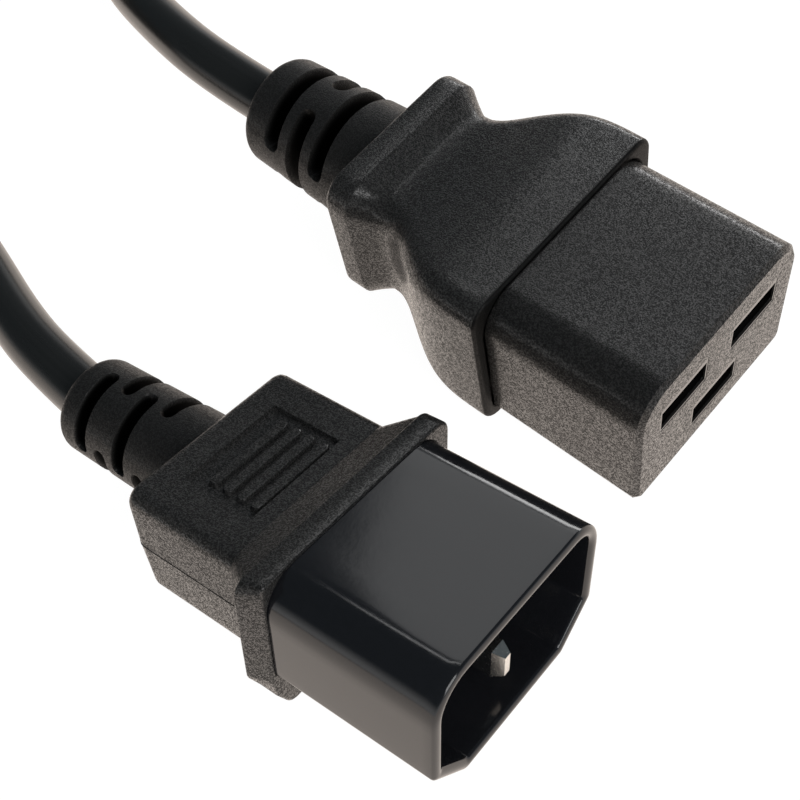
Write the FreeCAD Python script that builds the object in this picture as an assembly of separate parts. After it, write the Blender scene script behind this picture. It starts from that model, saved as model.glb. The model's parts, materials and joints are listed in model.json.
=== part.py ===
import FreeCAD, Part
import math
import os
from FreeCAD import Vector

os.makedirs("parts", exist_ok=True)

# Power lead with an IEC 60320 C19 connector on one end and a C14 plug on the other.
# Millimetres, +Z up, +X out of the connector's mating face.  The origin lies on the
# surface that the lead lies on, under the middle of the connector.  The plug is the
# far end of the same cord and lies beside the connector, tilted as its cord holds it.

# ---- connector nose: the block that goes into a C20 inlet ----
NOSE_WIDTH = 29.0
NOSE_HEIGHT = 20.8
NOSE_LENGTH = 21.0
NOSE_CORNER_TOP = 4.9
NOSE_CORNER_FOOT = 1.4
NOSE_RIM = 0.6
# three slots for flat pins: two above, the earth slot below and between them
SLOT_SPREAD = 13.0
SLOT_LIFT = 3.6
SLOT_DROP = 8.0
SLOT_WIDTH = 8.1
SLOT_HEIGHT = 3.0
SLOT_FLARE_SIDE = 0.25
SLOT_FLARE_TOP = 0.85
SLOT_FLARE_DEPTH = 0.8
SLOT_THROAT = 3.0
SLOT_CORNER = 0.5
# the carrier's tail, gripped by the overmould
TAIL_WIDTH = 25.0
TAIL_HEIGHT = 17.0
TAIL_LENGTH = 9.0
TAIL_CORNER = 3.0

# ---- contacts: folded brass sleeves with a crimp barrel ----
SLEEVE_WIDTH = 9.1
SLEEVE_HEIGHT = 3.9
SLEEVE_WALL = 0.45
SLEEVE_LENGTH = 15.0
SLEEVE_GAP = 0.15
SPRING_DEPTH = 0.5
SPRING_LENGTH = 5.0
NECK_WIDTH = 3.0
NECK_LENGTH = 1.6
NECK_OVERLAP = 1.0
BARREL_RADIUS = 1.7
BARREL_LENGTH = 6.0
CONDUCTOR_RADIUS = 0.8
CONDUCTOR_BARE = 1.0
CORE_RADIUS = 1.3
BUNDLE_RADIUS = 1.55
CORE_BEARINGS = {"line": 150.0, "neutral": 30.0, "earth": 270.0}
CORE_STRAIGHT = 3.0
CORE_SPLAY = 14.0

# ---- connector overmould ----
COLLAR_WIDTH = 32.3
COLLAR_TOP = 11.1
COLLAR_FOOT = 12.2
COLLAR_LENGTH = 3.0
COLLAR_CORNER = 2.6
COLLAR_RIM = 0.5
NECK_BODY_WIDTH = 20.6
NECK_BODY_TOP = 8.7
NECK_BODY_FOOT = 9.2
NECK_BODY_CORNER = 3.6
BODY_TAPER = 17.2
# the taper starts slowly, as its stations' share to this power, and ends before the neck
TAPER_STATIONS = 9
TAPER_POWER = 1.5
TAPER_END = 0.95
FLANGE_RAMP = 3.4
FLANGE_WIDTH = 24.2
FLANGE_TOP = 10.2
FLANGE_FOOT = 10.4
FLANGE_CORNER = 3.6
FLANGE_RIM = 3.4
FLANGE_EDGE = 0.7

# ---- cord and strain reliefs ----
CORD_DIAMETER = 7.2
CORD_CLEARANCE = 0.05
RELIEF_LENGTH = 21.2
RELIEF_FRONT = 8.4
RELIEF_REAR = 7.4
RELIEF_CHAMFER = 0.9
RELIEF_SLOT = 2.3
RELIEF_PITCH = 4.15
RELIEF_FIRST = 7.3
RELIEF_ROWS = 3
RELIEF_SWEEP = 146.0
RELIEF_BEARINGS = (90.0, 0.0)
RELIEF_WEB = 1.0
JACKET_IN = 20.0

# ---- plug shroud, pins ----
SHROUD_WIDTH = 27.9
SHROUD_HEIGHT = 18.3
SHROUD_LENGTH = 20.0
SHROUD_WALL = 1.35
SHROUD_CORNER = 4.8
SHROUD_CUT_SIDE = 5.2
SHROUD_CUT_LIFT = 4.8
SHROUD_CUT_ROUND = 0.9
SHROUD_RIM = 0.5
SHROUD_FLOOR = 3.0
SHANK_WIDTH = 20.0
SHANK_HEIGHT = 11.4
SHANK_LENGTH = 7.0
SHANK_CORNER = 2.0
PIN_SPREAD = 14.0
PIN_LIFT = 1.5
PIN_DROP = 4.0
PIN_THICK = 2.0
PIN_HEIGHT = 4.0
PIN_SET_BACK = 5.2
EARTH_SET_BACK = 1.4
PIN_TIP = 1.3
PIN_TIP_CUT = 0.55
PIN_BARREL_RADIUS = 1.6
PIN_BARREL_LENGTH = 5.0

# ---- plug overmould ----
PLUG_FLANGE_LENGTH = 6.2
PLUG_FLANGE_PLATE = 2.8
PLUG_FLANGE_PROUD = 1.55
PLUG_FLANGE_TOP = 0.15
PLUG_FLANGE_FALL = 0.4
PLUG_FLANGE_DROP = 2.3
PLUG_FLANGE_CORNER = 2.0
PLUG_FLANGE_CUT = (3.3, 6.0)
PLUG_FLANGE_CUT_ROUND = 1.6
PLUG_BODY_WIDTH = 24.2
PLUG_BODY_TOP = 7.2
PLUG_BODY_BOTTOM = 7.5
PLUG_BODY_LENGTH = 14.6
PLUG_BODY_CORNER = 1.8
PLUG_BODY_TURN = 0.45
PLUG_BODY_DRAFT = 0.5
PLUG_BODY_EDGE = 1.0
PANEL_WIDTH = 13.8
PANEL_LENGTH = 9.2
PANEL_DEPTH = 0.5
PANEL_SET_BACK = 2.1
BAR_COUNT = 4
BAR_PITCH = 2.2
BAR_WIDTH = 1.5
BAR_LENGTH = 10.8
PLUG_RELIEF_LENGTH = 20.2
PLUG_RELIEF_FRONT = 6.4
PLUG_RELIEF_REAR = 6.0
PLUG_RELIEF_SLOT = 1.7
PLUG_RELIEF_PITCH = 3.2
PLUG_RELIEF_FIRST = 6.5
PLUG_RELIEF_ROWS = 4
PLUG_RELIEF_SWEEP = 106.0
PLUG_RELIEF_BEARINGS = (45.0, 135.0)
PLUG_CORE_SPLAY = 9.0
PLUG_JACKET_IN = 13.5
# where the plug lies: the middle of its mouth, and how it is turned
PLUG_X = 39.25
PLUG_Y = -40.2
PLUG_YAW = 6.0
PLUG_PITCH = -4.8
PLUG_ROLL = -17.8

# ---- the put-away coil of the cord ----
COIL_X = -155.5
COIL_Y = -9.0
COIL_MEAN_RADIUS = 39.6
COIL_PITCH = 7.4
COIL_RISE = 7.3
COIL_LAYERS = 3
COIL_SKIN = 0.1
COIL_STUB = 28.0
COIL_IN_ANGLE = 70.0
COIL_OUT_ANGLE = 290.0
COIL_OUT_SLOPE = -0.105
# straight lengths of the cord where it leaves the plug and where it meets the coil
PLUG_ROUTE_START = 9.8
ROUTE_END = 13.0
# how much of the shorter run beside a bend its arc takes up
ARC_SHARE = 0.45

# ---- derived ----
BODY_LENGTH = COLLAR_LENGTH + BODY_TAPER + FLANGE_RAMP + FLANGE_RIM
LENGTH = NOSE_LENGTH + BODY_LENGTH + RELIEF_LENGTH
FACE_X = LENGTH / 2
AXIS_Z = COLLAR_FOOT
CORD_RADIUS = CORD_DIAMETER / 2
FLOOR_Z = CORD_RADIUS + CORD_CLEARANCE
HALF_TURN = 180.0
FULL_TURN = 360.0
TOLERANCE = 1e-4
ORIGIN = Vector(0, 0, 0)
X_AXIS = Vector(1, 0, 0)
Z_AXIS = Vector(0, 0, 1)


def outline(x, corners):
    """Closed wire in the plane X = x, with an arc of its own radius at each corner (y, z, r)."""
    count = len(corners)
    starts = []
    ends = []
    middles = []
    for i, (y, z, r) in enumerate(corners):
        here = Vector(x, y, z)
        before = Vector(x, corners[i - 1][0], corners[i - 1][1]) - here
        after = Vector(x, corners[(i + 1) % count][0], corners[(i + 1) % count][1]) - here
        before.normalize()
        after.normalize()
        half = before.getAngle(after) / 2
        reach = r / math.tan(half)
        inward = before + after
        inward.normalize()
        starts.append(here + before * reach)
        ends.append(here + after * reach)
        middles.append(here + inward * (r / math.sin(half) - r))
    edges = []
    for i in range(count):
        if (starts[i] - ends[i]).Length > TOLERANCE:
            edges.append(Part.Arc(starts[i], middles[i], ends[i]).toShape())
        following = starts[(i + 1) % count]
        if (following - ends[i]).Length > TOLERANCE:
            edges.append(Part.LineSegment(ends[i], following).toShape())
    return Part.Wire(edges)


def between(start, end, share):
    """The value that lies this share of the way from start to end."""
    return start + (end - start) * share


def housing(x, width, top, foot, corner_top, corner_foot):
    """Outline of a housing about the cord's axis: how wide, how far up and how far down it reaches."""
    half = width / 2
    corners = [(half, top, corner_top), (-half, top, corner_top)]
    corners += [(-half, -foot, corner_foot), (half, -foot, corner_foot)]
    return outline(x, corners)


def cut_outline(x, half, top, foot, corner, cut, turn):
    """Two rounded corners above and two cut corners below; a cut is how far in and how far up."""
    side, lift = cut
    corners = [(half, top, corner), (-half, top, corner), (-half, lift - foot, turn)]
    corners += [(side - half, -foot, turn), (half - side, -foot, turn), (half, lift - foot, turn)]
    return outline(x, corners)


def rounded(x, width, height, corner, y=0.0, z=0.0):
    """Rounded rectangle in the plane X = x."""
    right = y + width / 2
    left = y - width / 2
    top = z + height / 2
    foot = z - height / 2
    corners = [(right, top, corner), (left, top, corner), (left, foot, corner), (right, foot, corner)]
    return outline(x, corners)


def prism(wire, length):
    """The wire's face pushed along -X by the length."""
    return Part.Face(wire).extrude(Vector(-length, 0, 0))


def edges_at(shape, x):
    """Edges that lie in the plane X = x."""
    found = []
    for edge in shape.Edges:
        box = edge.BoundBox
        if abs(box.XMin - x) < TOLERANCE and abs(box.XMax - x) < TOLERANCE:
            found.append(edge)
    return found


def box(x_rear, x_front, width, height, y=0.0, z=0.0):
    """Block between two planes, centred on (y, z)."""
    corner = Vector(x_rear, y - width / 2, z - height / 2)
    return Part.makeBox(x_front - x_rear, width, height, corner)


def rod(x_rear, x_front, radius, y=0.0, z=0.0):
    """Round bar along X."""
    return Part.makeCylinder(radius, x_front - x_rear, Vector(x_rear, y, z), X_AXIS)


def bent_rod(points, radius):
    """Round bar with mitred bends through the points."""
    path = Part.makePolygon(points)
    along = points[1] - points[0]
    ring = Part.Wire(Part.makeCircle(radius, points[0], along))
    return path.makePipeShell([ring], True, False, 1)


def strain_relief(x_front, length, front, rear, chamfer, slots):
    """Tapered sleeve with rows of arc slots round it, so that it bends with the cord."""
    x_rear = x_front - length
    half = [Vector(x_front, 0, 0), Vector(x_front, front, 0), Vector(x_rear + chamfer, rear, 0)]
    half += [Vector(x_rear, rear - chamfer, 0), Vector(x_rear, 0, 0)]
    sleeve = Part.Face(Part.makePolygon(half + half[:1])).revolve(ORIGIN, X_AXIS, FULL_TURN)
    outside = 2 * front
    for x, width, floor, centre, sweep in slots:
        start = centre - sweep / 2
        ring = [Vector(x - width / 2, floor, 0), Vector(x + width / 2, floor, 0)]
        ring += [Vector(x + width / 2, outside, 0), Vector(x - width / 2, outside, 0)]
        sector = Part.Face(Part.makePolygon(ring + ring[:1])).revolve(ORIGIN, X_AXIS, sweep)
        sector.rotate(ORIGIN, X_AXIS, start)
        sleeve = sleeve.cut(sector)
    return sleeve


def slot_rows(x_first, pitch, count, width, bearings, sweep):
    """Pairs of opposite slots; the pairs of every other row lie across those of the first."""
    slots = []
    for row in range(count):
        first = bearings[row % 2]
        for centre in (first, first + HALF_TURN):
            slots.append((x_first - row * pitch, width, CORD_RADIUS + RELIEF_WEB, centre, sweep))
    return slots


def terminal_places(spread, lift, drop):
    """The line, neutral and earth places across the face, as (name, y, z)."""
    return (("line", -spread / 2, lift), ("neutral", spread / 2, lift), ("earth", 0.0, lift - drop))


def bundle_place(name):
    """Where each core lies in the cord."""
    bearing = math.radians(CORE_BEARINGS[name])
    return BUNDLE_RADIUS * math.cos(bearing), BUNDLE_RADIUS * math.sin(bearing)


def wiring(name, y, z, barrel_rear, splay, jacket_front):
    """The bare conductor in its barrel and the insulated core back to the jacket."""
    core_front = barrel_rear - CONDUCTOR_BARE
    conductor = rod(core_front, barrel_rear + BARREL_LENGTH / 2, CONDUCTOR_RADIUS, y, z)
    by, bz = bundle_place(name)
    points = [Vector(core_front, y, z), Vector(core_front - CORE_STRAIGHT, y, z)]
    points += [Vector(core_front - CORE_STRAIGHT - splay, by, bz), Vector(jacket_front, by, bz)]
    return conductor, bent_rod(points, CORE_RADIUS)


pieces = {}

# ---------------------------------------------------------------- connector
# Everything is first made about the cord's axis, with the mating face at FACE_X.
nose_rear = FACE_X - NOSE_LENGTH
nose_half = NOSE_HEIGHT / 2
nose = housing(FACE_X, NOSE_WIDTH, nose_half, nose_half, NOSE_CORNER_TOP, NOSE_CORNER_FOOT)
nose = prism(nose, NOSE_LENGTH)
nose = nose.makeChamfer(NOSE_RIM, edges_at(nose, FACE_X))
tail = prism(rounded(nose_rear, TAIL_WIDTH, TAIL_HEIGHT, TAIL_CORNER), TAIL_LENGTH)
tail_rear = nose_rear - TAIL_LENGTH
carrier = nose.fuse(tail)

sleeve_front = FACE_X - SLOT_THROAT - SLEEVE_GAP
sleeve_rear = sleeve_front - SLEEVE_LENGTH
barrel_front = sleeve_rear - NECK_LENGTH
barrel_rear = barrel_front - BARREL_LENGTH
jacket_front = FACE_X - LENGTH + JACKET_IN
cores = []
for name, y, z in terminal_places(SLOT_SPREAD, SLOT_LIFT, SLOT_DROP):
    mouth_width = SLOT_WIDTH + 2 * SLOT_FLARE_SIDE
    mouth_height = SLOT_HEIGHT + 2 * SLOT_FLARE_TOP
    flare = [rounded(FACE_X, mouth_width, mouth_height, SLOT_CORNER, y, z)]
    flare.append(rounded(FACE_X - SLOT_FLARE_DEPTH, SLOT_WIDTH, SLOT_HEIGHT, SLOT_CORNER, y, z))
    carrier = carrier.cut(Part.makeLoft(flare, True, True))
    throat = rounded(FACE_X - SLOT_FLARE_DEPTH, SLOT_WIDTH, SLOT_HEIGHT, SLOT_CORNER, y, z)
    carrier = carrier.cut(prism(throat, SLOT_THROAT))
    room_width = SLEEVE_WIDTH + 2 * SLEEVE_GAP
    room_height = SLEEVE_HEIGHT + 2 * SLEEVE_GAP
    carrier = carrier.cut(box(tail_rear, FACE_X - SLOT_THROAT, room_width, room_height, y, z))

    sleeve = box(sleeve_rear, sleeve_front, SLEEVE_WIDTH, SLEEVE_HEIGHT, y, z)
    hollow_height = SLEEVE_HEIGHT - 2 * SLEEVE_WALL
    hollow = box(sleeve_rear, sleeve_front, SLEEVE_WIDTH - 2 * SLEEVE_WALL, hollow_height, y, z)
    sleeve = sleeve.cut(hollow)
    for side in (-1, 1):
        wall_z = z + side * hollow_height / 2
        start = Vector((sleeve_front + sleeve_rear) / 2 - SPRING_LENGTH / 2, y - SLEEVE_WIDTH / 4, wall_z)
        tip = start + Vector(SPRING_LENGTH / 2, 0, -side * SPRING_DEPTH)
        finish = start + Vector(SPRING_LENGTH, 0, 0)
        blade = Part.Face(Part.makePolygon([start, tip, finish, start]))
        sleeve = sleeve.fuse(blade.extrude(Vector(0, SLEEVE_WIDTH / 2, 0)))
    floor_z = z - SLEEVE_HEIGHT / 2 + SLEEVE_WALL / 2
    web_z = z - BARREL_RADIUS + SLEEVE_WALL / 2
    web_height = web_z - floor_z + SLEEVE_WALL
    web_middle = (web_z + floor_z) / 2
    neck = box(barrel_front - NECK_OVERLAP, sleeve_rear, NECK_WIDTH, web_height, y, web_middle)
    sleeve = sleeve.fuse(neck)
    sleeve = sleeve.fuse(rod(barrel_rear, barrel_front, BARREL_RADIUS, y, z))
    conductor, core = wiring(name, y, z, barrel_rear, CORE_SPLAY, jacket_front)
    sleeve = sleeve.cut(rod(barrel_rear, barrel_rear + BARREL_LENGTH / 2, CONDUCTOR_RADIUS, y, z))
    pieces["contact_" + name] = sleeve
    pieces["conductor_" + name] = conductor
    pieces["core_" + name] = core
    cores.append(core)
pieces["contact_carrier"] = carrier.removeSplitter()

collar = housing(nose_rear, COLLAR_WIDTH, COLLAR_TOP, COLLAR_FOOT, COLLAR_CORNER, COLLAR_CORNER)
collar = prism(collar, COLLAR_LENGTH)
collar = collar.makeChamfer(COLLAR_RIM, edges_at(collar, nose_rear))
taper_front = nose_rear - COLLAR_LENGTH
sections = []
for station in range(TAPER_STATIONS):
    share = station / (TAPER_STATIONS - 1)
    way = min((share / TAPER_END) ** TAPER_POWER, 1.0)
    way = way * way * (3 - 2 * way)
    width = between(COLLAR_WIDTH, NECK_BODY_WIDTH, way)
    top = between(COLLAR_TOP, NECK_BODY_TOP, way)
    foot = between(COLLAR_FOOT, NECK_BODY_FOOT, way)
    corner = between(COLLAR_CORNER, NECK_BODY_CORNER, share)
    sections.append(housing(taper_front - BODY_TAPER * share, width, top, foot, corner, corner))
rim_front = taper_front - BODY_TAPER - FLANGE_RAMP
rim = housing(rim_front, FLANGE_WIDTH, FLANGE_TOP, FLANGE_FOOT, FLANGE_CORNER, FLANGE_CORNER)
sections.append(rim)
body = Part.makeLoft(sections, True, True)
rim = prism(rim, FLANGE_RIM)
rim_rear = rim_front - FLANGE_RIM
rim = rim.makeChamfer(FLANGE_EDGE, edges_at(rim, rim_rear))
first_row = rim_rear - RELIEF_FIRST
rows = slot_rows(first_row, RELIEF_PITCH, RELIEF_ROWS, RELIEF_SLOT, RELIEF_BEARINGS, RELIEF_SWEEP)
relief = strain_relief(rim_rear, RELIEF_LENGTH, RELIEF_FRONT, RELIEF_REAR, RELIEF_CHAMFER, rows)
overmould = collar.fuse(body).fuse(rim).fuse(relief)
overmould = overmould.cut(tail)
jacket = rod(rim_rear - RELIEF_LENGTH, jacket_front, CORD_RADIUS)
overmould = overmould.cut(jacket)
for core in cores:
    overmould = overmould.cut(core)
pieces["connector_overmould"] = overmould.removeSplitter()
pieces["jacket_connector_end"] = jacket
for shape in pieces.values():
    shape.translate(Vector(0, 0, AXIS_Z))

# --------------------------------------------------------------------- plug
# Made about its own axis with the mouth at X = 0, then turned and laid in its place.
shroud_half = SHROUD_WIDTH / 2
shroud_top = SHROUD_HEIGHT / 2
shroud_rear = -SHROUD_LENGTH


def shroud_outline(x, inset):
    """The shroud's outline, or the one that lies this far inside it all round."""
    slant = math.atan2(SHROUD_CUT_LIFT, SHROUD_CUT_SIDE)
    side = SHROUD_CUT_SIDE - inset * (1 - math.tan(slant / 2))
    lift = SHROUD_CUT_LIFT - inset * (1 - math.tan(math.pi / 4 - slant / 2))
    half = shroud_half - inset
    top = shroud_top - inset
    return cut_outline(x, half, top, top, SHROUD_CORNER - inset, (side, lift), SHROUD_CUT_ROUND)


shroud = prism(shroud_outline(0, 0), SHROUD_LENGTH)
shroud = shroud.fuse(prism(rounded(shroud_rear, SHANK_WIDTH, SHANK_HEIGHT, SHANK_CORNER), SHANK_LENGTH))
shroud = shroud.cut(prism(shroud_outline(0, SHROUD_WALL), SHROUD_LENGTH - SHROUD_FLOOR))
shroud = shroud.makeChamfer(SHROUD_RIM, edges_at(shroud, 0))
shank = prism(rounded(shroud_rear, SHANK_WIDTH, SHANK_HEIGHT, SHANK_CORNER), SHANK_LENGTH)
shank_rear = shroud_rear - SHANK_LENGTH

plug_rim_rear = shroud_rear - PLUG_FLANGE_LENGTH - PLUG_BODY_LENGTH
plug_rear = plug_rim_rear - PLUG_RELIEF_LENGTH
plug_jacket_front = plug_rear + PLUG_JACKET_IN
pin_barrel_rear = shank_rear - PIN_BARREL_LENGTH
plug_pieces = {}
plug_cores = []
plug_barrels = []
for name, y, z in terminal_places(PIN_SPREAD, PIN_LIFT, PIN_DROP):
    front = -EARTH_SET_BACK if name == "earth" else -PIN_SET_BACK
    tip_width = PIN_THICK - 2 * PIN_TIP_CUT
    tip_height = PIN_HEIGHT - 2 * PIN_TIP_CUT
    tip = [rounded(front, tip_width, tip_height, 0.0, y, z)]
    tip.append(rounded(front - PIN_TIP, PIN_THICK, PIN_HEIGHT, 0.0, y, z))
    blade = box(shank_rear, front - PIN_TIP, PIN_THICK, PIN_HEIGHT, y, z)
    barrel = rod(pin_barrel_rear, shank_rear, PIN_BARREL_RADIUS, y, z)
    pin = blade.fuse(Part.makeLoft(tip, True, True))
    shroud = shroud.cut(pin)
    pin = pin.fuse(barrel)
    conductor, core = wiring(name, y, z, pin_barrel_rear, PLUG_CORE_SPLAY, plug_jacket_front)
    conductor = conductor.cut(rod(pin_barrel_rear + BARREL_LENGTH / 2, shank_rear, CONDUCTOR_RADIUS, y, z))
    pin = pin.cut(rod(pin_barrel_rear, pin_barrel_rear + BARREL_LENGTH / 2, CONDUCTOR_RADIUS, y, z))
    plug_pieces["plug_pin_" + name] = pin.removeSplitter()
    plug_pieces["plug_conductor_" + name] = conductor
    plug_pieces["plug_core_" + name] = core
    plug_cores.append(core)
    plug_cores.append(rod(pin_barrel_rear - CONDUCTOR_BARE, pin_barrel_rear, CONDUCTOR_RADIUS, y, z))
    plug_barrels.append(barrel)
plug_pieces["plug_shroud"] = shroud.removeSplitter()

flange_half = shroud_half + PLUG_FLANGE_PROUD
flange_top = shroud_top + PLUG_FLANGE_TOP
flange_foot = shroud_top + PLUG_FLANGE_DROP
body_half = PLUG_BODY_WIDTH / 2


def body_outline(x, inset):
    """Upright sides above the parting line, drafted inwards below it."""
    half = body_half - inset
    foot_half = half - PLUG_BODY_DRAFT
    corner = PLUG_BODY_CORNER
    corners = [(half, PLUG_BODY_TOP - inset, corner), (-half, PLUG_BODY_TOP - inset, corner)]
    corners += [(-half, 0, 0.0), (-foot_half, inset - PLUG_BODY_BOTTOM, corner)]
    corners += [(foot_half, inset - PLUG_BODY_BOTTOM, corner), (half, 0, 0.0)]
    return outline(x, corners)


flange_rear = shroud_rear - PLUG_FLANGE_LENGTH
plate_rear = shroud_rear - PLUG_FLANGE_PLATE
flange = []
rounds = (PLUG_FLANGE_CORNER, PLUG_FLANGE_CUT, PLUG_FLANGE_CUT_ROUND)
for x, top in ((shroud_rear, flange_top), (plate_rear, flange_top - PLUG_FLANGE_FALL)):
    flange.append(cut_outline(x, flange_half, top, flange_foot, *rounds))
crease_cut = (PLUG_BODY_CORNER, PLUG_BODY_CORNER)
crease = (PLUG_BODY_TOP, PLUG_BODY_BOTTOM, PLUG_BODY_CORNER, crease_cut, PLUG_BODY_TURN)
flange.append(cut_outline(flange_rear, body_half, *crease))
plug_over = Part.makeLoft(flange, True, True)
body_front = (plate_rear + flange_rear) / 2
block = prism(body_outline(body_front, 0), body_front - plug_rim_rear)
block = block.makeChamfer(PLUG_BODY_EDGE, edges_at(block, plug_rim_rear))
plug_over = plug_over.fuse(block)
first_row = plug_rim_rear - PLUG_RELIEF_FIRST
pitch = PLUG_RELIEF_PITCH
places = (PLUG_RELIEF_ROWS, PLUG_RELIEF_SLOT, PLUG_RELIEF_BEARINGS, PLUG_RELIEF_SWEEP)
rows = slot_rows(first_row, pitch, *places)
ends = (PLUG_RELIEF_FRONT, PLUG_RELIEF_REAR)
relief = strain_relief(plug_rim_rear, PLUG_RELIEF_LENGTH, *ends, RELIEF_CHAMFER, rows)
plug_over = plug_over.fuse(relief)
panel_front = flange_rear - PANEL_SET_BACK
panel_z = PLUG_BODY_TOP - PANEL_DEPTH / 2
panel = box(panel_front - PANEL_LENGTH, panel_front, PANEL_WIDTH, PANEL_DEPTH, 0, panel_z)
panel_middle = panel_front - PANEL_LENGTH / 2
for index in range(BAR_COUNT):
    bar_x = panel_middle + (index - (BAR_COUNT - 1) / 2) * BAR_PITCH
    straight = BAR_LENGTH - BAR_WIDTH
    bar = box(bar_x - BAR_WIDTH / 2, bar_x + BAR_WIDTH / 2, straight, PANEL_DEPTH, 0, panel_z)
    for side in (-1, 1):
        base = Vector(bar_x, side * straight / 2, PLUG_BODY_TOP - PANEL_DEPTH)
        bar = bar.fuse(Part.makeCylinder(BAR_WIDTH / 2, PANEL_DEPTH, base))
    panel = panel.cut(bar)
plug_over = plug_over.cut(panel)
plug_over = plug_over.cut(shank)
for barrel in plug_barrels:
    plug_over = plug_over.cut(barrel)
plug_jacket = rod(plug_rear, plug_jacket_front, CORD_RADIUS)
plug_over = plug_over.cut(plug_jacket)
for core in plug_cores:
    plug_over = plug_over.cut(core)
plug_pieces["plug_overmould"] = plug_over.removeSplitter()
plug_pieces["jacket_plug_end"] = plug_jacket

lie = FreeCAD.Rotation(PLUG_YAW, PLUG_PITCH, PLUG_ROLL)
for shape in plug_pieces.values():
    shape.Placement = FreeCAD.Placement(Vector(0, 0, 0), lie)
low = min(plug_pieces["plug_overmould"].optimalBoundingBox(False, False).ZMin,
          plug_pieces["plug_shroud"].optimalBoundingBox(False, False).ZMin)
plug_place = FreeCAD.Placement(Vector(PLUG_X, PLUG_Y, -low), lie)
for name, shape in plug_pieces.items():
    shape.Placement = plug_place
    pieces[name] = shape
print("plug mouth stands at", [round(v, 3) for v in plug_place.Base])

# --------------------------------------------------------------------- cord
coil_in = math.radians(COIL_IN_ANGLE)
coil_out = math.radians(COIL_OUT_ANGLE)
outer_radius = COIL_MEAN_RADIUS + COIL_PITCH / 2
inner_radius = COIL_MEAN_RADIUS - COIL_PITCH / 2
coil_centre = Vector(COIL_X, COIL_Y, 0)
way_in = Vector(-math.sin(coil_in), math.cos(coil_in), 0)
way_out = Vector(-math.sin(coil_out), math.cos(coil_out), COIL_OUT_SLOPE)
way_out.normalize()
touch_in = coil_centre + Vector(math.cos(coil_in), math.sin(coil_in), 0) * outer_radius
touch_in.z = FLOOR_Z
touch_out = coil_centre + Vector(math.cos(coil_out), math.sin(coil_out), 0) * outer_radius
touch_out.z = FLOOR_Z + COIL_RISE
stub_in = touch_in - way_in * COIL_STUB
stub_out = touch_out + way_out * COIL_STUB

coil_low = inner_radius - CORD_RADIUS - COIL_SKIN
coil_high = outer_radius + CORD_RADIUS + COIL_SKIN
coil_top = FLOOR_Z + (COIL_LAYERS - 1) * COIL_RISE + CORD_RADIUS + COIL_SKIN
section = [Vector(coil_low, 0, 0), Vector(coil_low, 0, coil_top)]
section += [Vector(coil_high, 0, coil_top), Vector(coil_high, 0, 0)]
ring = Part.Face(Part.makePolygon(section + section[:1])).revolve(ORIGIN, Z_AXIS, FULL_TURN)
ring.translate(coil_centre)
ring = ring.fuse(Part.makeCylinder(CORD_RADIUS, COIL_STUB, touch_in, -way_in))
ring = ring.fuse(Part.makeCylinder(CORD_RADIUS, COIL_STUB, touch_out, way_out))
pieces["cord_coil"] = ring.removeSplitter()


def cord_tube(label, points):
    """Straight runs joined by tangent arcs, each as large as its two runs allow."""
    path = []
    here = points[0]
    total = 0.0
    radii = []
    for i in range(1, len(points) - 1):
        back = points[i - 1] - points[i]
        on = points[i + 1] - points[i]
        shorter = min(back.Length, on.Length)
        turned = math.pi - back.getAngle(on)
        radius = ARC_SHARE * shorter / math.tan(turned / 2)
        radii.append(radius)
        back.normalize()
        on.normalize()
        reach = ARC_SHARE * shorter
        start = points[i] + back * reach
        end = points[i] + on * reach
        inward = back + on
        inward.normalize()
        middle = points[i] + inward * (radius / math.cos(turned / 2) - radius)
        path.append(Part.LineSegment(here, start).toShape())
        path.append(Part.Arc(start, middle, end).toShape())
        total += (start - here).Length + radius * turned
        here = end
    path.append(Part.LineSegment(here, points[-1]).toShape())
    total += (points[-1] - here).Length
    ring = Part.Face(Part.Wire(Part.makeCircle(CORD_RADIUS, points[0], points[1] - points[0])))
    tube = Part.Wire(path).makePipe(ring)
    solid = math.pi * CORD_RADIUS ** 2 * total
    print(label, "radii", [round(r, 1) for r in radii], "length", round(total, 1))
    print(label, "volume over section times length", round(tube.Volume / solid, 5), tube.isValid())
    print(label, "points", [[round(v, 2) for v in p] for p in points])
    return tube


connector_exit = Vector(FACE_X - LENGTH, 0, AXIS_Z)
route = [connector_exit, Vector(-48.1, 0, AXIS_Z), Vector(-62.0, 2.6, 10.4), Vector(-77.5, 7.6, 7.4)]
route += [Vector(-89.5, 12.9, 4.8), stub_in - way_in * ROUTE_END, stub_in]
pieces["cord_connector_side"] = cord_tube("connector side", route)

plug_exit = plug_place.multVec(Vector(plug_rear, 0, 0))
plug_back = lie.multVec(Vector(-1, 0, 0))
route = [plug_exit, plug_exit + plug_back * PLUG_ROUTE_START]
route += [Vector(-41.5, -46.0, 8.9), Vector(-54.0, -41.6, 7.3), Vector(-67.5, -37.9, 5.5)]
route += [Vector(-79.5, -35.0, 4.6), Vector(-91.0, -33.9, 5.0), stub_out + way_out * ROUTE_END, stub_out]
pieces["cord_plug_side"] = cord_tube("plug side", route)

for name, shape in pieces.items():
    solids = shape.Solids
    print(name, len(solids), "solid", shape.isValid(), round(shape.Volume, 2))
    solids[0].exportStep("parts/" + name + ".step")
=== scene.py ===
# %% [markdown]
# # A power lead: C19 connector, cord and C14 plug
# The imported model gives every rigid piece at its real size. This script adds what the eye sees:
# moulded skins with soft edges, a smooth cord, surface finishes, a pale floor and soft light.

import json
import math

import bpy
import numpy as np
from mathutils import Matrix, Vector


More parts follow.
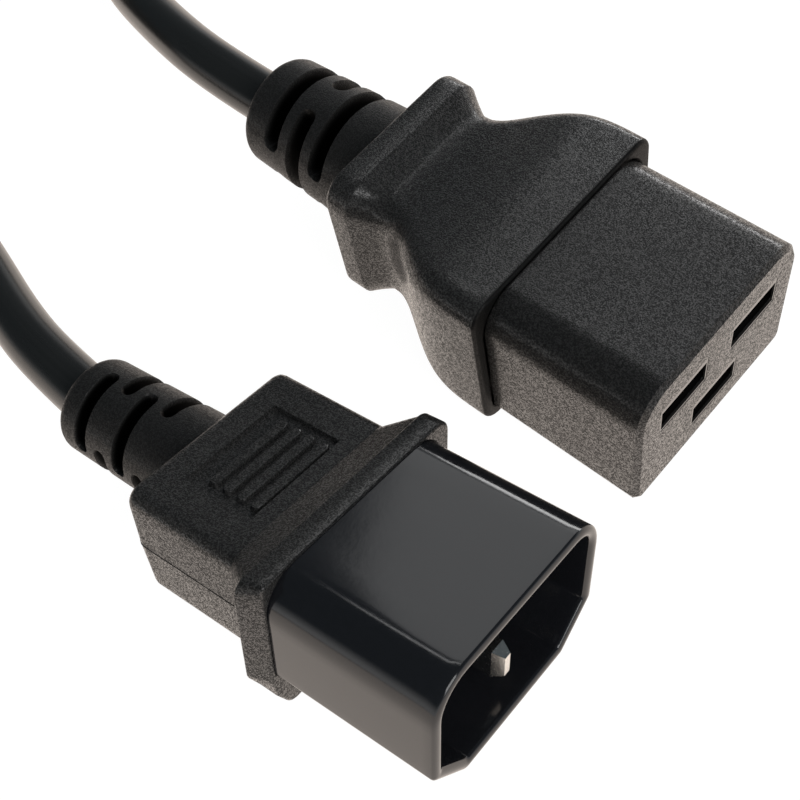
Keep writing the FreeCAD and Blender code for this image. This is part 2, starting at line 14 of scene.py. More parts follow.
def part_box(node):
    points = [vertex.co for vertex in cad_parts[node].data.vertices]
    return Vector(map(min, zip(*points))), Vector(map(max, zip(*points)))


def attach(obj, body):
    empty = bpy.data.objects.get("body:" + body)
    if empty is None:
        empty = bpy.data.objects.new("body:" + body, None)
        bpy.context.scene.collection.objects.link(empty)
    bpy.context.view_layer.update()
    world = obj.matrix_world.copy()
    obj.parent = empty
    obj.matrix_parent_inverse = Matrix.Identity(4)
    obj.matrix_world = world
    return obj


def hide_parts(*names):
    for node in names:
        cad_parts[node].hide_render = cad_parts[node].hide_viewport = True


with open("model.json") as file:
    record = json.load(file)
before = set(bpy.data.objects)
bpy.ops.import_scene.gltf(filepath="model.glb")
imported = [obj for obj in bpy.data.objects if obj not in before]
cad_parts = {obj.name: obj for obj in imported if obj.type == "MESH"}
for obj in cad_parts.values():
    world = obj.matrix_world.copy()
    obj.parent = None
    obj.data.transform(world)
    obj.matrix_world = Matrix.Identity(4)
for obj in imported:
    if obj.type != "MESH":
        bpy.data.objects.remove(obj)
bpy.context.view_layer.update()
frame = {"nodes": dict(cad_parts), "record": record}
MM = 0.001

# %% [markdown]
# ## The camera
# A product shot from above: the camera stands close, over the mating faces, and is rolled a
# little, so that both ends run from the upper left to the lower right. A short distance and a
# moderate lens keep the strong perspective of a close look.

# %% Place the camera
scene = bpy.context.scene
CAMERA_TARGET = Vector((-4.48, -15.2, -14.2)) * MM
CAMERA_AZIMUTH = math.radians(35.11)
CAMERA_ELEVATION = math.radians(58.92)
CAMERA_ROLL = math.radians(-15.32)
CAMERA_DISTANCE = 171.96 * MM
CAMERA_LENS = 55.42


def look_from(target, azimuth, elevation, distance, roll):
    """Camera matrix: stands at distance from the target, azimuth from +X towards -Y, then rolls."""
    flat = math.cos(elevation)
    back = Vector((math.cos(azimuth) * flat, -math.sin(azimuth) * flat, math.sin(elevation)))
    right = (-back).cross(Vector((0, 0, 1))).normalized()
    up = right.cross(-back)
    turned_right = right * math.cos(roll) + up * math.sin(roll)
    turned_up = up * math.cos(roll) - right * math.sin(roll)
    axes = Matrix((turned_right, turned_up, back)).transposed().to_4x4()
    return Matrix.Translation(target + back * distance) @ axes


camera_data = bpy.data.cameras.new("camera")
camera_data.lens = CAMERA_LENS
camera_data.sensor_width = 36
camera_data.clip_start = 0.01
camera = bpy.data.objects.new("camera", camera_data)
camera.matrix_world = look_from(
    CAMERA_TARGET, CAMERA_AZIMUTH, CAMERA_ELEVATION, CAMERA_DISTANCE, CAMERA_ROLL
)
scene.collection.objects.link(camera)
scene.camera = camera
print("camera at", [round(v, 4) for v in camera.location])

# %% [markdown]
# ## The cord
# One round cord, 7.2 mm across, runs from the connector to a put-away coil and on to the plug.
# It could be a swept mesh, but a NURBS spline of order 3 keeps every bend smooth from few
# points, and the curve's own bevel gives the round section.

# %% The route where the cord lies loose
CORD_DIAMETER = 7.2 * MM
connector_route = [
    (-34.6, 0.0, 12.2), (-48.1, 0.0, 12.2), (-62.0, 2.6, 10.4), (-77.5, 6.9, 7.4),
    (-89.5, 12.5, 4.8), (-102.16, 17.67, 3.65), (-114.38, 22.11, 3.65),
]
plug_route = [
    (-114.52, -40.16, 8.03), (-102.37, -35.74, 6.67), (-91.0, -33.9, 5.0), (-79.5, -35.0, 4.6),
    (-67.5, -37.9, 5.5), (-54.0, -41.1, 7.3), (-41.5, -44.5, 8.9), (-30.9, -46.2, 10.35),
    (-21.2, -46.55, 11.17),
]
print("points by hand", len(connector_route) + len(plug_route))

# %% [markdown]
# The spare length is wound up as for storage: turns beside and on each other, a diameter apart.
# Each turn runs at one place of the bundle and steps to the next place over a short angle.

# %% The turns of the coil
FLOOR_Z = 3.65 * MM
COIL_CENTRE = Vector((-155.5, -9.0, 0)) * MM
COIL_MEAN_RADIUS = 39.6 * MM
COIL_PITCH = 7.4 * MM
COIL_RISE = 7.3 * MM
COIL_IN_ANGLE = 70.0
COIL_OUT_ANGLE = 290.0
COIL_TURNS = 5
POINTS_A_TURN = 24
STEP_START = 230.0
STEP_DRIFT = 55.0
STEP_SWEEP = 50.0


def smooth(share):
    """0 below 0, 1 above 1 and 3s^2 - 2s^3 between."""
    share = np.clip(share, 0, 1)
    return share * share * (3 - 2 * share)


def coil_points():
    """Points round the coil: radius and height slide from one place to the next by smooth().

    A spline of order 3 runs inside its points by a factor of 0.75 + 0.25 cos(step), and the radius
    is divided by it.
    """
    outer = COIL_MEAN_RADIUS + COIL_PITCH / 2
    inner = COIL_MEAN_RADIUS - COIL_PITCH / 2
    places = np.array([(outer, 0), (inner, 0), (inner, 1), (inner, 2), (outer, 2), (outer, 1)])
    step = 360 / POINTS_A_TURN
    swept = np.arange(0, COIL_TURNS * 360 + COIL_OUT_ANGLE - COIL_IN_ANGLE + 1, step)
    turn = (swept // 360).astype(int)
    moved = smooth((swept - 360 * turn - STEP_START + STEP_DRIFT * turn) / STEP_SWEEP)[:, None]
    place = places[turn] * (1 - moved) + places[np.minimum(turn + 1, len(places) - 1)] * moved
    radius = place[:, 0] / (0.75 + 0.25 * math.cos(math.radians(step)))
    bearing = np.radians(COIL_IN_ANGLE + swept)
    around = np.stack([radius * np.cos(bearing), radius * np.sin(bearing)], axis=1)
    height = FLOOR_Z + place[:, 1] * COIL_RISE
    return np.column_stack([around + np.array(COIL_CENTRE)[:2], height])


coil = coil_points()
print("coil points", len(coil), "outer radius mm", round((COIL_MEAN_RADIUS + COIL_PITCH / 2) / MM, 1))

# %% Lay the cord
cord_curve = bpy.data.curves.new("cord", "CURVE")
cord_curve.dimensions = "3D"
cord_curve.bevel_depth = 1.0
cord_curve.bevel_resolution = 10
cord_curve.resolution_u = 8
route = np.vstack([np.array(connector_route) * MM, coil, np.array(plug_route) * MM])
spline = cord_curve.splines.new("NURBS")
spline.points.add(len(route) - 1)
spline.points.foreach_set("co", np.column_stack([route, np.ones(len(route))]).ravel())
spline.points.foreach_set("radius", np.full(len(route), CORD_DIAMETER / 2))
spline.order_u = 3
spline.use_endpoint_u = True
cord = bpy.data.objects.new("cord", cord_curve)
scene.collection.objects.link(cord)
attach(cord, "root")
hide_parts("cord_connector_side", "cord_coil", "cord_plug_side")
print("cord points", len(route))

# %% [markdown]
# ## Helpers for moulded skins
# A moulding is a closed surface on a grid: rings round it, one behind the other, each a
# polygon with rounded corners. Modelling each edge by hand with bevels would also do, but rings
# worked out from a few widths and heights follow the tapers exactly.

# %% Rings with rounded corners
ARC_POINTS = 9


def unit(vectors):
    """Vectors divided by their lengths, 0 staying 0."""
    length = np.linalg.norm(vectors, axis=-1, keepdims=True)
    return vectors / np.maximum(length, 1e-12)


def rounded_rings(corners, sides):
    """Rings (stations, points, 2) as y and z round corners (stations, corners, 3) as y, z, radius.

    A corner's arc has its centre on the corner's bisector, radius / sin(half angle) away, and sweeps
    from the normal of the side before it to the normal of the side after it. A side is divided at
    its shares, which lie between 0 and 1. Corners run anticlockwise as seen from +X.
    """
    corners = np.asarray(corners, float)
    place = corners[..., :2]
    radius = corners[..., 2:]
    back = unit(np.roll(place, 1, axis=1) - place)
    on = unit(np.roll(place, -1, axis=1) - place)
    half = np.arccos(np.clip((back * on).sum(-1, keepdims=True), -1, 1)) / 2
    centre = place + unit(back + on) * radius / np.sin(half)
    first = np.arctan2(back[..., 0], -back[..., 1])[..., None]
    sweep = np.linspace(0, 1, ARC_POINTS) * (math.pi - 2 * half)
    angle = first + sweep
    arcs = centre[:, :, None] + radius[..., None] * np.stack([np.cos(angle), np.sin(angle)], axis=-1)
    pieces = []
    for index, shares in enumerate(sides):
        start = arcs[:, index, -1:]
        finish = arcs[:, (index + 1) % len(sides), :1]
        shares = np.asarray(shares, float)[None, :, None]
        pieces += [arcs[:, index], start + (finish - start) * shares]
    return np.concatenate(pieces, axis=1)


def even(count):
    """Shares that divide a side into equal parts, without its ends."""
    return np.arange(1, count) / count


square = [[(1, 1, 0.2), (-1, 1, 0.2), (-1, -1, 0.2), (1, -1, 0.2)]]
print("ring of a square", rounded_rings(square, [even(3)] * 4).shape)

# %% [markdown]
# Edges of a moulding are never sharp. A rim is a quarter round: the ring moves out as it moves
# back. Where slots or bars need fine detail, the grid's lines crowd together there.

# %% Quarter rounds and crowded lines


def quarter(radius, count=5):
    """How far in and how far back the rings of a quarter round lie: r(1 - sin a) and r(1 - cos a)."""
    angle = np.linspace(0, math.pi / 2, count)
    return radius * (1 - np.sin(angle)), radius * (1 - np.cos(angle))


def crowded(start, end, count, places, reach, weight=9.0):
    """Values from start to end that lie closer near the places.

    Their density is 1 + weight times the sum of exp(-((v - place) / reach)^2), and the values divide
    the density's running total evenly.
    """
    fine = np.linspace(start, end, 20 * count)
    near = np.exp(-((fine[:, None] - np.asarray(places)[None, :]) / reach) ** 2).sum(axis=1)
    total = np.concatenate([[0], np.cumsum((1 + weight * near)[1:])])
    return np.interp(np.linspace(0, total[-1], count), total, fine)


print("quarter round of 1", [np.round(v, 2).tolist() for v in quarter(1.0, 3)])

# %% [markdown]
# Rings become faces between neighbours, and fans close both ends, so every skin is watertight.
# Each point also carries how far it is sunk, from 0 to 1, which the finishes read: a sunk place
# has less grain, and towards 1 painted shade turns it black.

# %% From rings to a piece
SHARP_ANGLE = math.radians(40)


def closed_band(rings):
    """Vertices and faces of a band: quads between neighbouring rings, the last joined to the first."""
    stations, around = rings.shape[:2]
    grid = np.arange(stations * around).reshape(stations, around)
    behind = np.roll(grid, -1, axis=0)
    corners = [grid, behind, np.roll(behind, -1, axis=1), np.roll(grid, -1, axis=1)]
    return rings.reshape(-1, 3), np.stack(corners, axis=-1).reshape(-1, 4).tolist()


def closed_skin(rings, front, rear):
    """Vertices and faces: quads between neighbouring rings, and a fan to a point at each end."""
    stations, around = rings.shape[:2]
    grid = np.arange(stations * around).reshape(stations, around)
    beside = np.roll(grid, -1, axis=1)
    quads = np.stack([grid[:-1], grid[1:], beside[1:], beside[:-1]], axis=-1).reshape(-1, 4)
    front_fan = np.column_stack([np.full(around, stations * around), grid[0], beside[0]])
    rear_fan = np.column_stack([np.full(around, stations * around + 1), beside[-1], grid[-1]])
    vertices = np.vstack([rings.reshape(-1, 3), [front], [rear]])
    return vertices, quads.tolist() + front_fan.tolist() + rear_fan.tolist()


def outward(vertices, faces):
    """The faces, all turned over if the volume is negative.

    Six times the volume is the sum of a . (b x c) + a . (c x d) over the faces. A triangle's last
    corner stands in for d, which makes its second part 0.
    """
    a, b, c, d = (vertices[np.array([face[k] for face in faces])] for k in (0, 1, 2, -1))
    volume = (a * np.cross(b, c)).sum() + (a * np.cross(c, d)).sum()
    return faces if volume > 0 else [face[::-1] for face in faces]


def make_piece(name, parts, place):
    """One object from several skins: their vertices, in millimetres, are stacked and scaled to metres.

    A skin is its vertices, its faces and, where it has them, how far its points are sunk. place is
    the matrix that carries the moulding's own axes to where it lies.
    """
    vertices = []
    faces = []
    sunk = []
    for part_vertices, part_faces, *part_sunk in parts:
        base = sum(len(v) for v in vertices)
        faces += [[base + v for v in face] for face in outward(part_vertices, part_faces)]
        vertices.append(part_vertices)
        sunk.append(part_sunk[0] if part_sunk else np.zeros(len(part_vertices)))
    matrix = np.array(place)
    vertices = np.vstack(vertices) * MM @ matrix[:3, :3].T + matrix[:3, 3]
    mesh = bpy.data.meshes.new(name)
    mesh.from_pydata(vertices.tolist(), [], faces)
    mesh.update()
    mesh.attributes.new("sunk", "FLOAT", "POINT").data.foreach_set("value", np.concatenate(sunk))
    mesh.shade_smooth()
    mesh.set_sharp_from_angle(angle=SHARP_ANGLE)
    piece = bpy.data.objects.new(name, mesh)
    scene.collection.objects.link(piece)
    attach(piece, "root")
    print(name, "vertices", len(mesh.vertices), "faces", len(mesh.polygons))
    return piece


def with_x(x, rings):
    """Rings of y and z with their station's x put in front."""
    x = np.broadcast_to(np.asarray(x, float)[:, None, None], rings.shape[:2] + (1,))
    return np.concatenate([x, rings], axis=-1)


print("rings with x", with_x([0.0], rounded_rings(square, [even(3)] * 4)).shape)

# %% [markdown]
# ## The connector's moulding
# One soft moulding grips the nose: a collar, a bell-shaped waist, and a finger flange with a
# flat rim. Its outline is a rounded rectangle all the way, so five sizes say everything at each
# place along the cord's axis: the width, how far the top and the foot lie from the axis, and the
# radii of the corners above and below.

# %% Sizes of the connector, in millimetres about the cord's axis
AXIS_Z = 12.2
NOSE = (29.0, 10.4, 10.4, 4.9, 1.4)
NOSE_REAR = 13.6
SEAM_GAP = 0.2
SEAM_LIP = 0.16
SEAM_DEPTH = 1.4
COLLAR = (32.3, 11.1, 12.2, 2.6, 2.6)
COLLAR_LENGTH = 3.0
COLLAR_EDGE = 0.5
NECK = (20.6, 8.7, 9.2, 3.6, 3.6)
TAPER_LENGTH = 17.2
TAPER_POWER = 1.5
TAPER_END = 0.95
FLANGE = (24.2, 10.2, 10.4, 3.6, 3.6)
RAMP_LENGTH = 3.4
RAMP_POWER = 1.25
FLANGE_RIM = 3.4
FLANGE_EDGE = 0.7
RELIEF_FOOT = (8.7, 7.7)
CREASE = 0.05
CLOSING = 0.5
# Painted shade on the seam and the collar's front edge: a sunk value that darkens them and takes their
# grain.
EDGE_PAINTED_SHADE = 0.85
HOUSING_SIDES = [even(24), even(12), even(24), even(12)]


def grown(sizes, by):
    """Width, top, foot and corners of a housing whose outline lies this far outside the given one."""
    return np.array(sizes) + np.asarray(by, float)[..., None] * np.array([2, 1, 1, 1, 1])


def outline_rings(x, corners, sides):
    """Rings round corners, each of which is y, z and radius, with a value of each per station."""
    corners = np.stack([np.stack(corner, axis=-1) for corner in corners], axis=1)
    return with_x(x, rounded_rings(corners, sides))


def housing_rings(x, sizes, sides):
    """Rings of a housing: sizes (stations, 5) are width, top, foot, top corners and foot corners."""
    width, top, foot, above, below = np.asarray(sizes, float).T
    half = width / 2
    corners = [(half, top, above), (-half, top, above), (-half, -foot, below), (half, -foot, below)]
    return outline_rings(x, corners, sides)


def closed_behind(rings, rear, radii):
    """Vertices and faces of the rings with two circles behind them, where the relief stands.

    The circles' points have the directions of the last ring's points, the first circle lies at the
    rear and the second inside the moulding.
    """
    flat = unit(rings[-1:, :, 1:]) * np.asarray(radii, float)[:, None, None]
    rings = np.concatenate([rings, with_x([rear, rear + CLOSING], flat)])
    return closed_skin(rings, (rings[0, 0, 0], 0, 0), (rear + CLOSING, 0, 0))


print("collar half a millimetre in", grown(COLLAR, [-0.5]).round(2))

# %% Stations along the connector's moulding
seam_x = NOSE_REAR - np.array([SEAM_DEPTH, SEAM_LIP, 0.0])
seam = grown(NOSE, [SEAM_GAP, SEAM_GAP, SEAM_GAP + SEAM_LIP])
inset, back = quarter(COLLAR_EDGE)
collar_x = np.concatenate([NOSE_REAR - back, [NOSE_REAR - COLLAR_LENGTH / 2]])
collar = grown(COLLAR, np.concatenate([-inset, [0.0]]))

share = np.linspace(0, 1, 32)
taper_x = NOSE_REAR - COLLAR_LENGTH - TAPER_LENGTH * share
way = smooth((share / TAPER_END) ** TAPER_POWER)[:, None]
taper = np.array(COLLAR) * (1 - way) + np.array(NECK) * way
taper[:, 3:] = (COLLAR[3] + (NECK[3] - COLLAR[3]) * share)[:, None]

share = np.linspace(0, 1, 11)[1:]
ramp_x = taper_x[-1] - RAMP_LENGTH * share
ramp_x[-1] += CREASE
climb = (share ** RAMP_POWER)[:, None]
ramp = np.array(NECK) * (1 - climb) + np.array(FLANGE) * climb
ramp[-1] = grown(FLANGE, -CREASE / 2)

inset, back = quarter(FLANGE_EDGE)
rim_front = taper_x[-1] - RAMP_LENGTH
rim_rear = rim_front - FLANGE_RIM
rim_x = np.concatenate([[rim_front - CREASE, rim_front - FLANGE_RIM / 2], rim_rear + back[::-1]])
rim = grown(FLANGE, np.concatenate([[0.0, 0.0], -inset[::-1]]))
print("rim from", round(rim_front, 2), "to", round(rim_rear, 2))

# %% Skin of the connector's moulding
stations_x = np.concatenate([seam_x, collar_x, taper_x, ramp_x, rim_x])
rings = housing_rings(stations_x, np.vstack([seam, collar, taper, ramp, rim]), HOUSING_SIDES)
body_vertices, body_faces = closed_behind(rings, rim_rear, RELIEF_FOOT)
# Painted shade: the seam and the collar's front rounding are marked as sunk, which darkens them.
edge_rings = len(seam_x) + len(collar_x) - 2
sunk = np.zeros(len(body_vertices))
sunk[:edge_rings * rings.shape[1]] = EDGE_PAINTED_SHADE
body_skin = (body_vertices, body_faces, sunk)
print("body rings", rings.shape)

# %% [markdown]
# The nose is a rigid insert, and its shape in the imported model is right. Round each of its slots
# lies a smooth flat lip, a hair behind the face, which leaves a fine dark line at its outside.

# %% Lips of the nose's slots
FACE_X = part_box("contact_carrier")[1][0] / MM
SLOT_SPREAD = 13.0
SLOT_LIFT = 3.6
SLOT_DROP = 8.0
LIP_OUTSIDE = (8.48, 2.29, 2.29, 0.12, 0.12)
LIP_INSIDE = (8.04, 1.5, 1.95, 0.12, 0.12)
LIP_FRONT = 0.05
LIP_BACK = 0.3
slot_middles = [
    (-SLOT_SPREAD / 2, SLOT_LIFT), (SLOT_SPREAD / 2, SLOT_LIFT), (0.0, SLOT_LIFT - SLOT_DROP),
]


def lip(middle):
    """A band of four rings: outside and inside at the front, inside and outside at the back."""
    x = FACE_X - np.array([LIP_FRONT, LIP_FRONT, LIP_BACK, LIP_BACK])
    sizes = [LIP_OUTSIDE, LIP_INSIDE, LIP_INSIDE, LIP_OUTSIDE]
    vertices, faces = closed_band(housing_rings(x, sizes, [even(4)] * 4))
    return vertices + np.array([0, *middle]), faces


at_axis = Matrix.Translation((0, 0, AXIS_Z * MM))
slot_lips = make_piece("slot_lips", [lip(middle) for middle in slot_middles], at_axis)

# %% [markdown]
# ## Strain reliefs
# Behind each moulding a tapered sleeve bends with the cord, because rows of slots with round ends
# are cut half-way round it, every other row turned. Boolean cuts would do it too, but leave
# ragged meshes. Here the sleeve's radius sinks inside each slot's outline instead.

# %% A slotted sleeve
CORD_RADIUS = CORD_DIAMETER / MM / 2
WEB = 1.0
SLOT_EDGE = 0.28
SLEEVE_LINES = 150
SLEEVE_SPOKES = 330
SLEEVE_FOOT = 0.4
SLEEVE_GRIP = 0.4
SLEEVE_SUNK = 0.6


def slot_depth(x, angle, radius, slots, width, sweep):
    """How far each point of the sleeve sinks, from 0 to 1.

    A slot is a stadium on the unrolled sleeve: its distance is that to a line of its length less its
    width, minus half the width. Across its edge the sleeve sinks by smooth().
    """
    sunk = np.zeros(np.broadcast_shapes(x.shape, angle.shape))
    for place, bearing in slots:
        off = (angle - bearing + math.pi) % (2 * math.pi) - math.pi
        past = np.maximum(np.abs(off) * radius - (radius * sweep - width) / 2, 0)
        distance = np.hypot(x - place, past) - width / 2
        sunk = np.maximum(sunk, smooth(0.5 - distance / SLOT_EDGE))
    return sunk


def slotted_sleeve(x_front, length, front, rear, edge, first, pitch, count, width, bearings, sweep):
    """Skin of a sleeve: its radius falls evenly, ends in a quarter round, and sinks in the slots.

    It starts a little inside the moulding and ends a little inside the cord's jacket.
    """
    bearings = np.radians(bearings)
    sweep = math.radians(sweep)
    rows = x_front - first - pitch * np.arange(count)
    slots = [(x, bearings[k % 2] + turn) for k, x in enumerate(rows) for turn in (0, math.pi)]
    ends = [b + turn + side * sweep / 2 for b in bearings for turn in (0, math.pi) for side in (-1, 1)]
    ends = np.mod(ends, 2 * math.pi)
    ends = np.concatenate([ends, ends - 2 * math.pi, ends + 2 * math.pi])
    angle = crowded(0, 2 * math.pi, SLEEVE_SPOKES + 1, ends, reach=0.14)[:-1]
    slot_edges = np.concatenate([rows - width / 2, rows + width / 2])
    x_rear = x_front - length
    x = crowded(x_front + SLEEVE_FOOT, x_rear + edge, SLEEVE_LINES, slot_edges, reach=0.3)
    radius = front + (rear - front) * np.clip((x_front - x) / length, 0, 1)
    sunk = slot_depth(x[:, None], angle[None, :], radius[:, None], slots, width, sweep)
    reach = radius[:, None] - (radius[:, None] - CORD_RADIUS - WEB) * sunk
    inset, back = quarter(edge, 7)
    x = np.concatenate([x, x_rear + back[::-1][1:], [x_rear]])
    end = np.concatenate([rear - inset[::-1][1:], [CORD_RADIUS - SLEEVE_GRIP]])
    reach = np.vstack([reach, np.repeat(end[:, None], len(angle), axis=1)])
    rings = with_x(x, np.stack([reach * np.cos(angle), reach * np.sin(angle)], axis=-1))
    vertices, faces = closed_skin(rings, (x_front + SLEEVE_FOOT, 0, 0), (x_rear, 0, 0))
    all_sunk = np.full(len(vertices), SLEEVE_SUNK)
    all_sunk[:sunk.size] += (1 - SLEEVE_SUNK) * smooth(2 * sunk.ravel())
    return vertices, faces, all_sunk


connector_sleeve = slotted_sleeve(
    rim_rear, length=21.2, front=8.4, rear=7.4, edge=1.1, first=7.3, pitch=4.15, count=3,
    width=2.3, bearings=(90.0, 0.0), sweep=146.0,
)
print("sleeve vertices", len(connector_sleeve[0]))

# %% The connector's moulding as one piece
connector_moulding = make_piece("connector_moulding", [body_skin, connector_sleeve], at_axis)
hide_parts("connector_overmould")

# %% [markdown]
# ## The plug's shroud
# A glossy shell with an open mouth stands round three pins. Its wall is one profile carried
# round the outline: up the inside from the floor, over a rounded rim and back along the outside.

# %% Where the plug lies
PLUG_TURNS = (6.0, -4.8, -17.8)
mouth = next(m for m in frame["record"]["mounts"] if m["name"] == "plug_mating_face")
yaw, pitch, roll = (Matrix.Rotation(math.radians(a), 4, axis) for a, axis in zip(PLUG_TURNS, "ZYX"))
plug_place = Matrix.Translation(mouth["pos_m"]) @ yaw @ pitch @ roll
print("plug faces", [round(v, 3) for v in plug_place.col[0][:3]])

# %% Rings of the plug: two round corners above, two cut corners below


def cut_rings(x, sizes, sides):
    """Rings with six corners. sizes (stations, 9): half width, top, foot, radius above, how far in and
    how far up the cut reaches, radius at its upper end, half width at the foot, radius at the foot.
    """
    half, top, foot, corner, side, lift, turn, low, base = np.asarray(sizes, float).T
    corners = [(half, top, corner), (-half, top, corner), (-half, lift - foot, turn)]
    corners += [(side - low, -foot, base), (low - side, -foot, base), (half, lift - foot, turn)]
    return outline_rings(x, corners, sides)


SHROUD_HALF = 13.95
SHROUD_TOP = 9.15
SHROUD_CORNER = 4.8
SHROUD_CUT = (5.2, 4.8)
SHROUD_TURN = 0.9
SHROUD_WALL = 1.35
SHROUD_FLOOR_X = -17.0
SHROUD_FLOOR_EDGE = 0.3
SHROUD_REAR = -20.0
SHROUD_TUCK = 0.5
RIM_RISE = 0.5
RIM_REAR = -1.5


def shroud_sizes(inset):
    """Sizes of the shroud's outline this far inside it: the cut keeps its slant, so it shrinks less."""
    inset = np.asarray(inset, float)
    slant = math.atan2(SHROUD_CUT[1], SHROUD_CUT[0])
    side = SHROUD_CUT[0] - inset * (1 - math.tan(slant / 2))
    lift = SHROUD_CUT[1] - inset * (1 - math.tan(math.pi / 4 - slant / 2))
    half = SHROUD_HALF - inset
    top = SHROUD_TOP - inset
    turn = np.full_like(inset, SHROUD_TURN)
    return np.stack([half, top, top, SHROUD_CORNER - inset, side, lift, turn, half, turn], axis=-1)


print("inside of the shroud", shroud_sizes([SHROUD_WALL]).round(2))

# %% Skin of the shroud
over = np.linspace(0, math.pi, 9)
rim_inset = SHROUD_WALL / 2 * (1 + np.cos(over))
rim_x = -RIM_RISE * (1 - np.sin(over))
inside_x = [SHROUD_FLOOR_X, SHROUD_FLOOR_X + SHROUD_FLOOR_EDGE, RIM_REAR]
outside_x = [RIM_REAR, SHROUD_REAR + 1, SHROUD_REAR - SHROUD_TUCK]
inset = np.concatenate([np.full(len(inside_x), SHROUD_WALL), rim_inset, np.zeros(len(outside_x))])
rings = cut_rings(np.concatenate([inside_x, rim_x, outside_x]), shroud_sizes(inset), [even(8)] * 6)
shroud_skin = closed_skin(rings, (inside_x[0], 0, 0), (outside_x[-1], 0, 0))
shroud = make_piece("shroud_shell", [shroud_skin], plug_place)
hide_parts("plug_shroud")

# %% [markdown]
# ## The plug's moulding
# A block with a flange in front that ramps up to the shroud, a sunk grip panel with four bars on
# top, and a faint parting line where the mould's halves met. The panel could be a bump in the
# finish, but real depth keeps its shadow from every side.

# %% Sizes of the plug's moulding
PLUG_FLANGE_HALF = 15.5
PLUG_FLANGE_TOP = 9.3
PLUG_FLANGE_FALL = 0.1
PLUG_FLANGE_FOOT = 11.45
PLUG_FLANGE_CORNER = 2.0
PLUG_FLANGE_CUT = (3.3, 6.0)
PLUG_FLANGE_TURN = 1.6
PLUG_PLATE_REAR = -22.8
PLUG_FLANGE_REAR = -26.2
BODY_HALF = 12.35
BODY_TOP = 7.4
BODY_FOOT = 7.5
BODY_CORNER = 1.8
BODY_DRAFT = 0.5
PARTING_TURN = 3.0
BODY_REAR = -40.8
BODY_EDGE = 1.0
PLUG_PLATE_EDGE = 0.3
SHROUD_GAP = 0.05
PLUG_SEAM = (0.8, 0.15, 0.0)
PLUG_RELIEF_FOOT = (6.6, 6.0)
REAR_LEAN = 0.085
LEAN_RUN = 3.0
SIDE_SLANT = 0.8
PARTING_RISE = 0.06
plug_flange = (
    PLUG_FLANGE_HALF, PLUG_FLANGE_TOP, PLUG_FLANGE_FOOT, PLUG_FLANGE_CORNER, *PLUG_FLANGE_CUT,
    PLUG_FLANGE_TURN, PLUG_FLANGE_HALF, PLUG_FLANGE_TURN,
)
block = (
    BODY_HALF, BODY_TOP, BODY_FOOT, BODY_CORNER, 0.0, BODY_FOOT, PARTING_TURN,
    BODY_HALF - BODY_DRAFT, BODY_CORNER,
)


def shrunk(sizes, by):
    """Sizes of an outline this far inside: its reach and its radii shrink, and a cut stays."""
    return np.array(sizes) - np.asarray(by, float)[..., None] * np.array([1, 1, 1, 0.5, 0, 0, 0, 1, 0.5])


print("flange a millimetre in", shrunk(plug_flange, [1.0]).round(2))

# %% Stations along the plug's flange
seam_x = SHROUD_REAR - np.array(PLUG_SEAM)
seam = shroud_sizes([-SHROUD_GAP, -SHROUD_GAP, -SHROUD_GAP - SEAM_LIP])
inset, back = quarter(PLUG_PLATE_EDGE)
front_x = SHROUD_REAR - back
front = shrunk(plug_flange, inset)
rear_x = PLUG_PLATE_REAR + back[::-1]
rear = shrunk(plug_flange, inset[::-1])
rear[:, 1] -= PLUG_FLANGE_FALL
share = np.concatenate([[0.02], np.linspace(0, 1, 7)[1:-1], [0.98, 1.0]])[:, None]
slope_x = PLUG_PLATE_REAR + (PLUG_FLANGE_REAR - PLUG_PLATE_REAR) * share[:, 0]
slope = rear[-1] * (1 - share) + np.array(block) * share
print("flange from", front_x[0], "to", slope_x[-1])

# %% Stations along the plug's block, close together at the panel's edges and bars
BLOCK_LINES = 110
BLOCK_START = 0.15
PANEL_MIDDLE = -32.9
PANEL_SIZE = (9.2, 13.8)
PANEL_DEPTH = 0.55
BAR_MIDDLE = -32.0
BAR_PITCH = 1.93
BAR_SIZE = (1.2, 11.7)
STEP_WIDTH = 0.12
bars = BAR_MIDDLE + BAR_PITCH * (np.arange(4) - 1.5)
panel_edges = [PANEL_MIDDLE - PANEL_SIZE[0] / 2, PANEL_MIDDLE + PANEL_SIZE[0] / 2]
lines = np.concatenate([bars - BAR_SIZE[0] / 2, bars + BAR_SIZE[0] / 2, panel_edges])
block_x = crowded(PLUG_FLANGE_REAR - BLOCK_START, BODY_REAR + BODY_EDGE, BLOCK_LINES, lines, reach=0.2)
inset, back = quarter(BODY_EDGE)
end_x = BODY_REAR + back[::-1][1:]
end = shrunk(block, inset[::-1][1:])
x = np.concatenate([seam_x, front_x, rear_x, slope_x, block_x, end_x])
sizes = np.vstack([seam, front, rear, slope, np.repeat([block], len(block_x), axis=0), end])
print("stations", len(x))

# %% The sunk panel and its bars
TOP_LINES = 90
top_width = 2 * (BODY_HALF - BODY_CORNER)
ends_y = np.array([BAR_SIZE[1] / 2, PANEL_SIZE[1] / 2])
ends_y = np.concatenate([-ends_y, ends_y])
across = crowded(-top_width / 2, top_width / 2, TOP_LINES, ends_y, reach=0.35)
top_side = (across[1:-1] + top_width / 2) / top_width
sides = [top_side, even(8), even(6), even(16), even(6), even(8)]


def panel_depth(x, y):
    """1 inside the panel and outside its bars: smooth() across the edges of a box and four stadiums."""
    box = np.maximum(np.abs(x - PANEL_MIDDLE) - PANEL_SIZE[0] / 2, np.abs(y) - PANEL_SIZE[1] / 2)
    sunk = smooth(0.5 - box / STEP_WIDTH)
    for bar in bars:
        past = np.maximum(np.abs(y) - (BAR_SIZE[1] - BAR_SIZE[0]) / 2, 0)
        sunk = sunk - smooth(0.5 - (np.hypot(x - bar, past) - BAR_SIZE[0] / 2) / STEP_WIDTH)
    return sunk


